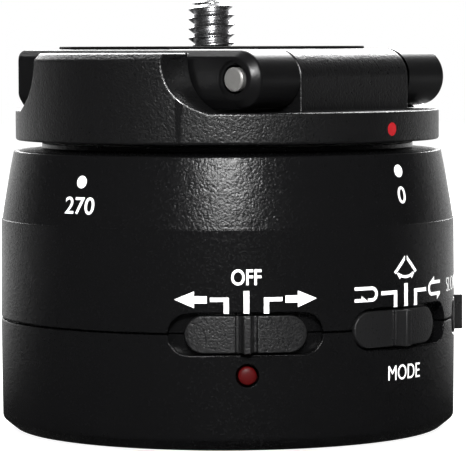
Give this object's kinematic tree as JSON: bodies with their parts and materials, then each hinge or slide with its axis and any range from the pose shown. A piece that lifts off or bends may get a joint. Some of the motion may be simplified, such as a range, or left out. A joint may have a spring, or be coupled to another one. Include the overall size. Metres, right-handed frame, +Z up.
{
  "type": "panoramic tripod head",
  "caption": "Round motor-driven tripod head: a drum body with slide switches, a turntable on a bearing, and a hinged platform with a captive camera screw.",
  "frame": {"origin": "on the turning axis, in the plane that the rubber ring under the base rests on", "axes": "+Z up along the turning axis, -Y toward the direction switch at the front, +X to the right seen from the front"},
  "size_m": [0.0614, 0.0615, 0.0567],
  "materials": {
    "grain_plastic": "black, fine spark-eroded grain",
    "satin_black": "black, satin",
    "button_plastic": "dark grey, fine grain",
    "rubber": "matt black",
    "steel": "turned, bright",
    "dark_steel": "blackened",
    "brass": "turned",
    "red_lens": "red, clear, domed",
    "clear_led": "clear",
    "board": "green solder mask",
    "chip": "black epoxy",
    "white_plastic": "natural acetal",
    "battery_foil": "matt pouch foil",
    "foam_tape": "foam"
  },
  "bodies": {
    "base": {"lower_shell": "grain_plastic", "upper_shell": "grain_plastic", "base_pad": "rubber", "tripod_bush": "brass", "base_screw_1": "dark_steel", "base_screw_2": "dark_steel", "base_screw_3": "dark_steel", "base_screw_4": "dark_steel", "circuit_board": "board", "control_chip": "chip", "battery_cell": "battery_foil", "battery_tape": "foam_tape", "motor_can": "steel", "motor_gearbox": "brass", "motor_bracket": "white_plastic", "bracket_screw_1": "dark_steel", "bracket_screw_2": "dark_steel", "bearing_outer_race": "steel", "glide_ring": "white_plastic", "indicator_lens": "red_lens", "indicator_led": "clear_led", "charging_socket": "steel", "direction_switch_case": "dark_steel", "mode_switch_case": "dark_steel", "speed_switch_case": "dark_steel"},
    "turntable": {"turntable": "grain_plastic", "spindle": "steel", "spindle_screw_1": "dark_steel", "spindle_screw_2": "dark_steel", "spindle_screw_3": "dark_steel", "bearing_inner_race": "steel", "drive_gear": "white_plastic", "gear_washer": "steel", "gear_screw": "dark_steel"},
    "pinion": {"motor_pinion": "brass", "motor_shaft": "steel"},
    "ball_cage": {"bearing_ball_cage": "brass"},
    "direction_slider": {"direction_button": "button_plastic", "direction_switch_lever": "chip"},
    "mode_slider": {"mode_button": "button_plastic", "mode_switch_lever": "chip"},
    "speed_slider": {"speed_button": "button_plastic", "speed_switch_lever": "chip"},
    "platform": {"platform": "satin_black", "platform_pad": "rubber", "hinge_pin": "steel"},
    "camera_screw": {"camera_screw": "steel"}
  },
  "joints": [
    {"name": "pan", "type": "hinge", "parent": "base", "child": "turntable", "pos_m": [0, 0, 0.04], "axis": [0, 0, 1], "continuous": true},
    {"name": "motor_drive", "type": "hinge", "parent": "base", "child": "pinion", "pos_m": [-0.018, 0, 0.0273], "axis": [0, 0, 1], "continuous": true},
    {"name": "bearing_roll", "type": "hinge", "parent": "base", "child": "ball_cage", "pos_m": [0, 0, 0.0324], "axis": [0, 0, 1], "continuous": true},
    {"name": "tilt", "type": "hinge", "parent": "turntable", "child": "platform", "pos_m": [0.01364, -0.01144, 0.0464], "axis": [0.6428, 0.766, 0], "range_deg": [0, 90]},
    {"name": "screw_turn", "type": "hinge", "parent": "platform", "child": "camera_screw", "pos_m": [-0.00203, 0.0017, 0.0507], "axis": [0, 0, 1], "continuous": true},
    {"name": "direction_slide", "type": "hinge", "parent": "base", "child": "direction_slider", "pos_m": [0, 0, 0.01495], "axis": [0, 0, 1], "range_deg": [-3.6, 3.6]},
    {"name": "mode_slide", "type": "hinge", "parent": "base", "child": "mode_slider", "pos_m": [0, 0, 0.01495], "axis": [0, 0, 1], "range_deg": [0, 7.1]},
    {"name": "speed_slide", "type": "hinge", "parent": "base", "child": "speed_slider", "pos_m": [0, 0, 0.01495], "axis": [0, 0, 1], "range_deg": [-3.6, 3.6]}
  ],
  "couplings": [
    {"joint": "motor_drive", "follows": "pan", "ratio": -4},
    {"joint": "bearing_roll", "follows": "pan", "ratio": 0.4276}
  ]
}
